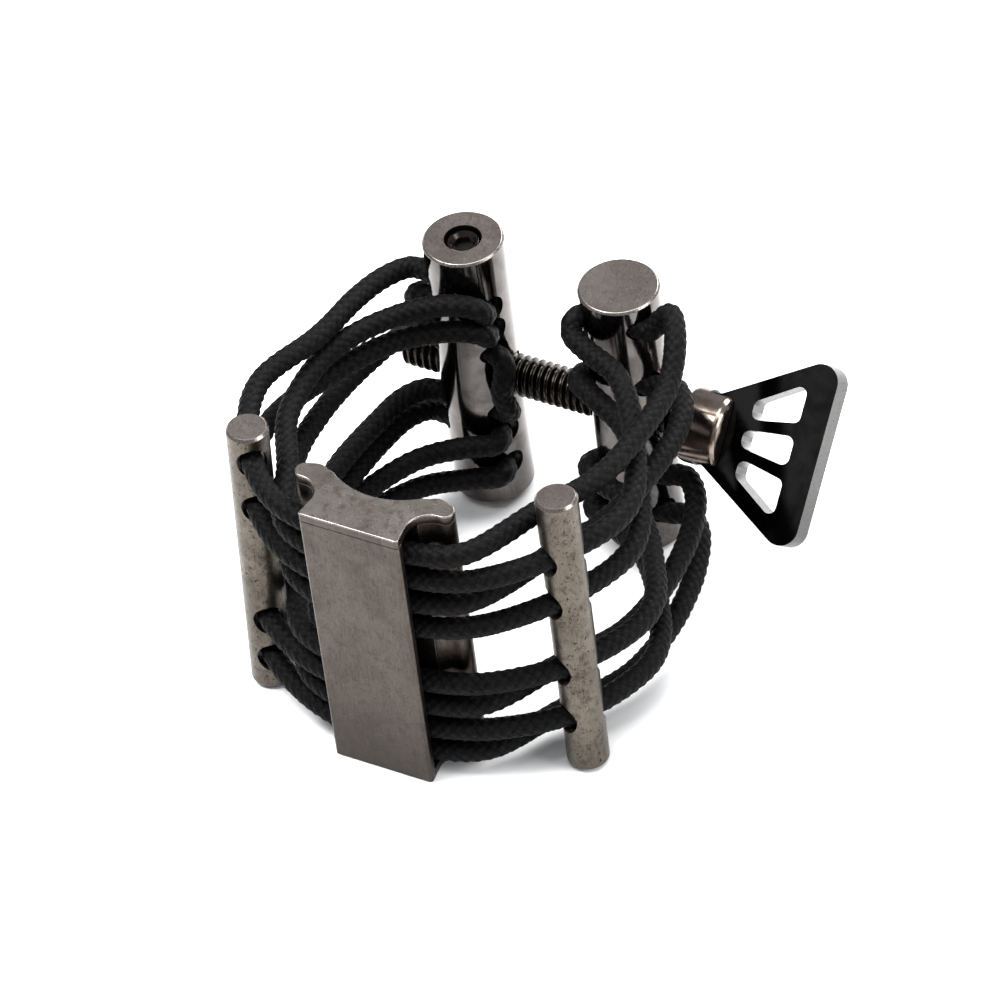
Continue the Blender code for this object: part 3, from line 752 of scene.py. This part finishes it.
def make_wing():
    flare_x = BOSS_X1 - 1.6
    edge = rounded([(WING_X0, -WING_ROOT), (flare_x, -WING_ROOT), (WING_X1, -WING_END),
                    (WING_X1, WING_END), (flare_x, WING_ROOT), (WING_X0, WING_ROOT)],
                   [0.25, 1.2, 1.8, 1.8, 1.2, 0.25], 12)
    windows = [
        rib_window(20.7, 25.9, -0.85, 0.85, -1.5, 1.5, 0.75),
        rib_window(21.0, 25.9, 1.9, 3.7, 2.85, 6.8, 0.7),
        rib_window(21.0, 25.9, -3.7, -1.9, -6.8, -2.85, 0.7),
    ]
    cu = bpy.data.curves.new("wing_outline", "CURVE")
    cu.dimensions = "2D"
    cu.fill_mode = "BOTH"
    cu.extrude = WING_T * MM / 2
    for pts in [edge] + windows:
        sp = cu.splines.new("POLY")
        sp.points.add(len(pts) - 1)
        for p, (x, y) in zip(sp.points, pts):
            p.co = (x * MM, y * MM, 0.0, 1.0)
        sp.use_cyclic_u = True
    guide = bpy.data.objects.new("wing_outline", cu)
    scene_col.objects.link(guide)
    bpy.context.view_layer.update()
    deps = bpy.context.evaluated_depsgraph_get()
    me = bpy.data.meshes.new_from_object(guide.evaluated_get(deps))
    bpy.data.objects.remove(guide, do_unlink=True)
    me.materials.clear()
    bm = bmesh.new()
    bm.from_mesh(me)
    bmesh.ops.remove_doubles(bm, verts=bm.verts, dist=1e-6)
    bmesh.ops.dissolve_limit(bm, angle_limit=0.01, verts=bm.verts, edges=bm.edges, delimit=set())
    bmesh.ops.recalc_face_normals(bm, faces=bm.faces)
    bm.to_mesh(me)
    bm.free()
    for mt in (WING_FACE, WING_EDGE):
        me.materials.append(mt)
    for p in me.polygons:
        p.material_index = 0 if abs(p.normal.z) > 0.9 else 1
    ob = bpy.data.objects.new("thumb_wing_fine", me)
    me.name = "thumb_wing_fine"
    scene_col.objects.link(ob)
    soften(ob, 0.24, 3, 50.0)
    turn = Matrix.Translation(at(0.0, POST_Y, SCREW_Z)) @ Matrix.Rotation(math.radians(90.0 - WING_ANGLE), 4, "X")
    for p in ob.data.polygons:
        n = p.normal
        c = p.center / MM
        inside = 20.3 < c.x < 26.4 and abs(c.y) < 7.4 and abs(n.z) < 0.98
        p.material_index = 0 if (abs(n.z) > 0.95 or (inside and abs(c.y) < 1.5 + (c.x - 18) * 0.62)) else 1
    ob.data.transform(turn)
    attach(ob, "thumb_screw")
    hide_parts("thumb_wing")


make_wing()


# =====================================================================================
# saddle: two end plates folded over a front wall and a cradle wall
# =====================================================================================
def saddle_outline(fine=2):
    half = arc(SADDLE_HALF_W - 0.35, SADDLE_FACE_Y + 0.35, 0.35, -90, 0, 5)
    half += arc(7.2, -17.3, 2.2, 180, 90, 12 * fine)
    half += arc(7.4, -14.15, 0.95, -80, 60, 10 * fine)
    half += arc(6.4, -14.4, 1.5, 70, 128, 6 * fine)
    a = math.degrees(math.asin(4.6 / CRADLE_R))
    half += arc(0.0, CRADLE_Y + CRADLE_R, CRADLE_R, -90 + a, -90 + 3, 12 * fine)
    return half + [(0.0, CRADLE_Y)] + [(-x, y) for x, y in reversed(half)]


def clipped(poly, y_cut, above):
    out = []
    for i, (x1, y1) in enumerate(poly):
        x0, y0 = poly[i - 1]
        in0, in1 = (y0 >= y_cut) == above, (y1 >= y_cut) == above
        if in0 != in1:
            t = (y_cut - y0) / (y1 - y0)
            out.append((x0 + t * (x1 - x0), y_cut))
        if in1:
            out.append((x1, y1))
    return out


def make_saddle():
    whole = saddle_outline()
    mats = [SATIN_SADDLE, SATIN_PLATE, WORN_EDGE, CRADLE_DARK]
    parts = [soften(prism("top", whole, SADDLE_H - SADDLE_PLATE, SADDLE_H, mats), 0.13, 3, 40.0),
             soften(prism("bottom", clipped(whole, SLOT_Y0, True), 0.0, SADDLE_PLATE, mats), 0.13, 3, 40.0),
             soften(prism("front", clipped(whole, SLOT_Y0, False), 0.0, SADDLE_H - SADDLE_PLATE, mats), 0.08, 2, 40.0),
             soften(prism("back", clipped(whole, SLOT_Y1, True), SADDLE_PLATE, SADDLE_H - SADDLE_PLATE, mats), 0.08, 2, 40.0)]
    ob = merge("saddle_fine", parts)

    def rule(n, c, k):
        if abs(n.z) > 0.97:
            return 1
        if abs(n.z) > 0.25 and (c[2] > SADDLE_H - 0.2 or c[2] < 0.2):
            return 2
        if n.y > 0.3 and abs(c[0]) < 5.2 and c[1] > -16.9:
            return 3
        return 0

    paint(ob, rule)
    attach(ob, "root")
    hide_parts("saddle")


make_saddle()


# =====================================================================================
# tuner bars
# =====================================================================================
def on_axis(bar, z):
    (x0, y0, z0), (x1, y1, z1) = bar
    t = (z - z0) / (z1 - z0)
    return x0 + t * (x1 - x0), y0 + t * (y1 - y0)


def behind(bar, z):
    x, y = on_axis(bar, z)
    r = math.hypot(x, y)
    k = min(r - BEHIND_BAR, 16.3) / r
    return x * k, y * k


def make_bar(node, bar, heading, levels, body):
    low, high = np.array(bar[0]), np.array(bar[1])
    height = float(np.linalg.norm(high - low))
    ax = (high - low) / height
    prof = [(0.0, 0.0)]
    prof += [(BAR_R - 0.42 + 0.42 * math.sin(a), 0.42 - 0.42 * math.cos(a)) for a in np.linspace(0.0, math.pi / 2, 5)]
    prof += [(BAR_R, height - 0.28), (BAR_R - 0.02, height - 0.24), (BAR_R - 0.22, height - 0.01), (BAR_R - 0.27, height), (0.0, height)]
    ob = lathe(node + "_fine", prof, 112, "Z", tuple(ORIGIN), [SATIN_BAR, SATIN_END, WORN_EDGE, BORE_SHADE])
    ob.data.transform(Matrix.Translation(at(*bar[0])) @ Vector(ax).to_track_quat("Z", "Y").to_matrix().to_4x4())
    tools = joined([rod("h", BAR_HOLE_R, -4.0, 4.0, 48, (*on_axis(bar, z), z), "H", heading) for z in levels])
    ca, sa = math.cos(math.radians(heading)), math.sin(math.radians(heading))
    mouths = joined([ball("m", BAR_HOLE_R + 0.22, (on_axis(bar, z)[0] + s * 2.30 * ca, on_axis(bar, z)[1] + s * 2.30 * sa, z))
                     for z in levels for s in (-1, 1)])
    carve(ob, tools, mouths)

    def rule(n, c, k):
        h = float((c - low) @ ax)
        rr = float(np.linalg.norm((c - low) - h * ax))
        nz = float(np.array(n) @ ax)
        if abs(nz) > 0.98 and (h > height - 0.02 or h < 0.02):
            return 1
        if 0.2 < abs(nz) < 0.98 and h > height - 0.32:
            return 2
        # painted shade: walls inside the cord holes get the darker bore colour
        if rr < BAR_R - 0.25 and abs(nz) < 0.99 and 0.6 < h < height - 0.5:
            return 3
        return 0

    paint(ob, rule)
    turned_normals(ob, ax, bar[0])
    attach(ob, body)
    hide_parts(node)


make_bar("right_tuner_bar", RIGHT_BAR, RIGHT_BAR_HOLES, [RBAR_Z[s - 1] for s in THROUGH_RBAR], "right_tuner")
make_bar("left_tuner_bar", LEFT_BAR, LEFT_BAR_HOLES, [LBAR_Z[s - 1] for s in THROUGH_LBAR], "left_tuner")



# =====================================================================================
# the lacing: one braided cord
# =====================================================================================
def right_half(s):
    zs, zb, zp = SADDLE_Z[s - 1], RBAR_Z[s - 1], P_Z[(s - 1) // 2]
    low = 1.0 if s > 4 else 0.0
    pts = [(0.0, SLOT_MID_Y, zs), (4.6, SLOT_MID_Y, zs)]
    zi = zs * 0.6 + zb * 0.4
    if s in THROUGH_RBAR:
        pts.append((10.3, -15.8, zi))
        pts.append((*on_axis(RIGHT_BAR, zb), zb))
        pts.append((*polar(84, 19.7 + low, 1), zb))
    else:
        pts.append((9.5, -15.65, zi))
        pts.append((*behind(RIGHT_BAR, zb), zb))
        pts.append((*polar(84, 16.8 + low, 1), zb))
    if s in OUTER_AT_SCREW_POST:
        lift = 2.3 if s == 1 else 0.4
        pts += [(17.6 + low, 5.0, zb * 0.8 + zp * 0.2), (17.4 + 0.6 * low, 11.5, zb * 0.4 + zp * 0.6),
                (16.3 + 0.3 * low, 15.6, zp + 0.8 * lift), (14.6, CORD_HOLE_Y + 0.25 * lift, zp + lift),
                (13.4, CORD_HOLE_Y + 0.25 * lift, zp + 0.45 * lift), (12.5, CORD_HOLE_Y, zp),
                (POST_X + 2.0, CORD_HOLE_Y, zp)]
    else:
        dip = -1.3 if s == 2 else 0.2
        pts += [(16.6 + 0.6 * low, 5.5, zb * 0.8 + zp * 0.2), (12.0, 11.6, zb * 0.4 + zp * 0.6),
                (7.4, 13.95, zp + dip), (5.2, 15.25, zp + 0.8 * dip), (4.95, 16.35, zp + 0.1 * dip), (5.75, 17.3, zp),
                (POST_X - 1.4, CORD_HOLE_Y, zp)]
    pts.append((POST_X, CORD_HOLE_Y, zp))
    return pts


def left_half(s):
    zs, zb = SADDLE_Z[s - 1], LBAR_Z[s - 1]
    zi = zs * 0.6 + zb * 0.4
    pts = [(0.0, SLOT_MID_Y, zs), (-4.6, SLOT_MID_Y, zs)]
    if s in THROUGH_LBAR:
        pts.append((-10.2, -16.0, zi))
        pts.append((*on_axis(LEFT_BAR, zb), zb))
        pts.append((*polar(80, 18.9, -1), zb))
    else:
        pts.append((-9.5, -15.65, zi))
        pts.append((*behind(LEFT_BAR, zb), zb))
        pts.append((*polar(80, 16.2, -1), zb))
    if s in OUTER_AT_NUT_POST:
        zn = N_Z[OUTER_AT_NUT_POST[s]]
        pts += [(-16.6, 5.0, zb * 0.7 + zn * 0.3), (-15.9, 11.5, zb * 0.4 + zn * 0.6),
                (-14.9, 15.4, zn + 0.1), (-13.3, CORD_HOLE_Y, zn), (-POST_X - 2.4, CORD_HOLE_Y, zn)]
        pts.append((-POST_X + 0.5 if s == 1 else -POST_X, CORD_HOLE_Y, zn))
    else:
        zn = N_Z[INNER_AT_NUT_POST[s]]
        lift = {2: 2.8, 3: 2.2}.get(s, 0.1)
        pts += [(-15.8, 5.5, zb * 0.85 + zn * 0.15 + 0.3 * lift), (-11.8, 11.4, zb * 0.3 + zn * 0.7 + 0.7 * lift),
                (-7.4, 13.95, zn + lift), (-5.15, 15.25, zn + 0.7 * lift), (-4.95, 16.35, zn + 0.1 * lift),
                (-5.75, 17.3, zn), (-POST_X + 1.4, CORD_HOLE_Y, zn)]
        pts.append((-POST_X - 0.3 if s == 8 else -POST_X, CORD_HOLE_Y, zn))
    return pts


def lacing():
    def left_to_right(s):
        return left_half(s)[::-1] + right_half(s)[1:]

    def right_to_left(s):
        return right_half(s)[::-1] + left_half(s)[1:]

    y = CORD_HOLE_Y
    r = left_to_right(1) + right_to_left(2)
    z2, z3 = N_Z[2], N_Z[3]
    r += [(-POST_X - 3.4, y, z2), (-POST_X - 4.6, y, z2 - 0.35), (-POST_X - 5.1, y, (z2 + z3) / 2),
          (-POST_X - 4.6, y, z3 + 0.35), (-POST_X - 3.4, y, z3)]
    r += left_to_right(3) + right_to_left(4)
    z4, z5 = N_Z[4], N_Z[5]
    r += [(-POST_X + 2.6, y, z4), (-POST_X + 4.3, y - 0.5, z4 - 0.5), (-POST_X + 4.6, y - 1.2, z4 - 2.0),
          (-POST_X + 4.3, y - 1.5, (z4 + z5) / 2), (-POST_X + 4.6, y - 1.2, z5 + 2.0),
          (-POST_X + 4.3, y - 0.5, z5 + 0.5), (-POST_X + 2.6, y, z5)]
    r += left_to_right(5) + right_to_left(6) + left_to_right(7) + right_to_left(8)
    out = [r[0]]
    for p in r[1:]:
        if math.dist(p, out[-1]) > 0.3:
            out.append(p)
    return out


def smooth_route(way):
    p = np.array([2 * np.array(way[0]) - np.array(way[1])] + [np.array(w) for w in way]
                 + [2 * np.array(way[-1]) - np.array(way[-2])], float)
    fine = []
    for i in range(1, len(p) - 2):
        p0, p1, p2, p3 = p[i - 1:i + 3]
        t1 = np.linalg.norm(p1 - p0) ** 0.5
        t2 = t1 + np.linalg.norm(p2 - p1) ** 0.5
        t3 = t2 + np.linalg.norm(p3 - p2) ** 0.5
        n = max(8, int(np.linalg.norm(p2 - p1) / 0.08))
        t = (t1 + (t2 - t1) * np.arange(n) / n)[:, None]
        a1 = p0 * ((t1 - t) / t1) + p1 * (t / t1)
        a2 = p1 * ((t2 - t) / (t2 - t1)) + p2 * ((t - t1) / (t2 - t1))
        a3 = p2 * ((t3 - t) / (t3 - t2)) + p3 * ((t - t2) / (t3 - t2))
        b1 = a1 * ((t2 - t) / t2) + a2 * (t / t2)
        b2 = a2 * ((t3 - t) / (t3 - t1)) + a3 * ((t - t1) / (t3 - t1))
        fine.append(b1 * ((t2 - t) / (t2 - t1)) + b2 * ((t - t1) / (t2 - t1)))
    fine.append(p[-2][None])
    return np.concatenate(fine)


STEP, AROUND, YARNS, PICK = 0.125, 48, 6, 1.02


def frames_along(c):
    """tangent and two cross directions that don't twist"""
    t = np.gradient(c, axis=0)
    t /= np.linalg.norm(t, axis=1, keepdims=True)
    u = np.zeros_like(t)
    ref = np.array([0.0, 0.0, 1.0])
    u[0] = ref - (ref @ t[0]) * t[0]
    u[0] /= np.linalg.norm(u[0])
    for i in range(1, len(c)):
        v = u[i - 1] - (u[i - 1] @ t[i]) * t[i]
        u[i] = v / np.linalg.norm(v)
    return t, u, np.cross(t, u)


def braid_height(turn, s):
    """turn 0..1 round the cord, s in millimetres along it: height 0..1, the stitch's own lot, and which way it leans"""
    a = YARNS * turn + s / PICK
    b = YARNS * turn - s / PICK
    ia, ib = np.floor(a), np.floor(b)
    fa, fb = a - ia, b - ib
    side = np.mod(ia + ib, 2) < 0.5
    across = np.where(side, fa, fb)
    along = np.where(side, fb, fa)
    w = np.sqrt(np.clip(1 - ((2 * across - 1) * 0.97) ** 2, 0, 1))
    l = np.clip(np.sin(math.pi * along), 0, 1) ** 0.5
    # the same lot where the count goes once round
    iw, jw = np.mod(ia - ib, 4096), np.mod(ia + ib, 2 * YARNS)
    lot = np.mod(np.sin(iw * 12.9898 + jw * 78.233) * 43758.5453, 1.0)
    return w * (0.42 + 0.58 * l) * (0.90 + 0.10 * lot), lot, side.astype(float)


def cord_piece(name, c, s, t, u, v):
    n = len(c)
    turn = (np.arange(AROUND) / AROUND)[None, :] + (0.0045 * s)[:, None]
    S = np.repeat(s[:, None], AROUND, 1)
    h, lot, side = braid_height(turn, S)
    swell = 1.0 + 0.012 * np.sin(s * 0.9) * np.sin(s * 0.23 + 1.0)
    R = (0.92 + 0.205 * h) * swell[:, None]
    ang = 2 * math.pi * np.arange(AROUND) / AROUND
    co = c[:, None, :] + R[:, :, None] * (np.cos(ang)[None, :, None] * u[:, None, :] + np.sin(ang)[None, :, None] * v[:, None, :])
    co = co.reshape(-1, 3)
    i = np.arange(n - 1)[:, None] * AROUND
    j = np.arange(AROUND)[None, :]
    k = (j + 1) % AROUND
    quads = np.stack([i + j, i + k, i + AROUND + k, i + AROUND + j], -1).reshape(-1, 4)
    verts = np.concatenate([co, c[:1], c[-1:]])
    m0, m1 = len(co), len(co) + 1
    jj = np.arange(AROUND)
    kk = (jj + 1) % AROUND
    cap0 = np.stack([np.full(AROUND, m0), kk, jj], -1)
    last = (n - 1) * AROUND
    cap1 = np.stack([np.full(AROUND, m1), last + jj, last + kk], -1)
    me = bpy.data.meshes.new(name)
    me.vertices.add(len(verts))
    me.vertices.foreach_set("co", to_model(verts).astype(np.float32).ravel())
    loops = np.concatenate([quads.ravel(), cap0.ravel(), cap1.ravel()]).astype(np.int32)
    starts = np.concatenate([np.arange(len(quads)) * 4, len(quads) * 4 + np.arange(2 * AROUND) * 3]).astype(np.int32)
    me.loops.add(len(loops))
    me.loops.foreach_set("vertex_index", loops)
    me.polygons.add(len(starts))
    me.polygons.foreach_set("loop_start", starts)
    uv = me.uv_layers.new(name="braid")
    tu = turn * YARNS
    U, V = tu, S / PICK
    wrap = (j + 1) // AROUND * YARNS
    q = np.zeros((n - 1, AROUND, 4, 2))
    nxt = np.roll(U, -1, 1) + wrap
    q[:, :, 0, 0], q[:, :, 0, 1] = U[:-1], V[:-1]
    q[:, :, 1, 0], q[:, :, 1, 1] = nxt[:-1], V[:-1]
    q[:, :, 2, 0], q[:, :, 2, 1] = nxt[1:], V[1:]
    q[:, :, 3, 0], q[:, :, 3, 1] = U[1:], V[1:]
    uvs = np.concatenate([q.reshape(-1, 2), np.zeros((2 * AROUND * 3, 2))])
    uv.data.foreach_set("uv", uvs.astype(np.float32).ravel())
    # stitch holds each point's height (which also drives the painted valley shade in the braid material), lot and lean
    att = me.attributes.new("stitch", "FLOAT_COLOR", "POINT")
    colour = np.stack([h.ravel(), lot.ravel(), side.ravel(), np.ones(h.size)], -1)
    colour = np.concatenate([colour, [[0, 0, 0, 1], [0, 0, 0, 1]]])
    att.data.foreach_set("color", colour.astype(np.float32).ravel())
    me.materials.append(BRAID)
    me.update(calc_edges=True)
    me.validate()
    me.shade_smooth()
    ob = bpy.data.objects.new(name, me)
    scene_col.objects.link(ob)
    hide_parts("lacing_cord")
    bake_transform(ob)
    return ob


def make_lacing():
    fine = smooth_route(lacing())
    d = np.concatenate([[0.0], np.cumsum(np.linalg.norm(np.diff(fine, axis=0), axis=1))])
    n = int(round(d[-1] / STEP))
    s = np.linspace(0.0, d[-1], n + 1)
    c = np.stack([np.interp(s, d, fine[:, k]) for k in range(3)], -1)
    # even out the joins between the spline's spans
    for _ in range(6):
        c[1:-1] = 0.25 * c[:-2] + 0.5 * c[1:-1] + 0.25 * c[2:]
    t, u, v = frames_along(c)
    cuts = []
    low = 0
    for k in range(8):
        p = np.array([0.0, SLOT_MID_Y, SADDLE_Z[k]])
        i = low + int(np.argmin(np.linalg.norm(c[low:] - p, axis=1)))
        cuts.append(i)
        low = i + 40
    marks = [0] + cuts + [n]
    for k in range(9):
        lo, hi = marks[k], marks[k + 1]
        right = k % 2 == 1
        name = "cord_%s_%d" % ("right" if right else "left", k // 2 + 1)
        sl = slice(lo, hi + 1)
        cord_piece(name, c[sl], s[sl], t[sl], u[sl], v[sl])


make_lacing()


# =====================================================================================
# studio: pale floor, soft lights
# =====================================================================================
def make_floor():
    bpy.ops.mesh.primitive_grid_add(x_subdivisions=8, y_subdivisions=8, size=6.0, location=(0.0, 0.0, -0.00005))
    fl = bpy.context.active_object
    fl.name = "studio_floor"
    m = Mat("studio_floor", (0.86, 0.86, 0.86), 0.9)
    v = m.coords(scale=(1.0, 1.0, 1.0))
    m.colour(m.mix(m.span(m.noise(v, 3.0, 2.0, 0.5), 0.3, 0.7, 0.0, 1.0), (0.86, 0.86, 0.86), (0.88, 0.88, 0.88)))
    fl.data.materials.append(m.m)
    return fl


make_floor()


def area(name, place, target, size, power, colour=(1.0, 1.0, 1.0), size_y=None):
    li = bpy.data.lights.new(name, "AREA")
    li.shape = "RECTANGLE" if size_y else "SQUARE"
    li.size = size
    if size_y:
        li.size_y = size_y
    li.energy = power
    li.color = colour
    ob = bpy.data.objects.new(name, li)
    scene_col.objects.link(ob)
    ob.location = place
    ob.rotation_euler = (Vector(target) - Vector(place)).to_track_quat("-Z", "Y").to_euler()
    return ob


area("key", (-0.25, -0.10, 0.55), (0.0, 0.0, 0.0), 0.30, 5.0)
area("back_strip", (0.10, 0.60, 0.38), (0.0, 0.0, 0.01), 0.55, 5.5, size_y=0.22)
area("right_fill", (0.55, 0.05, 0.30), (0.0, 0.0, 0.01), 0.30, 2.6)
area("top", (0.05, 0.05, 0.9), (0.0, 0.0, 0.0), 0.7, 9.0)

world = bpy.data.worlds.new("studio")
bpy.context.scene.world = world
world.use_nodes = True
bg = world.node_tree.nodes["Background"]
bg.inputs["Color"].default_value = (0.92, 0.95, 1.0, 1.0)
bg.inputs["Strength"].default_value = 0.45

bpy.context.scene.view_settings.view_transform = "Standard"
bpy.context.scene.view_settings.look = "None"
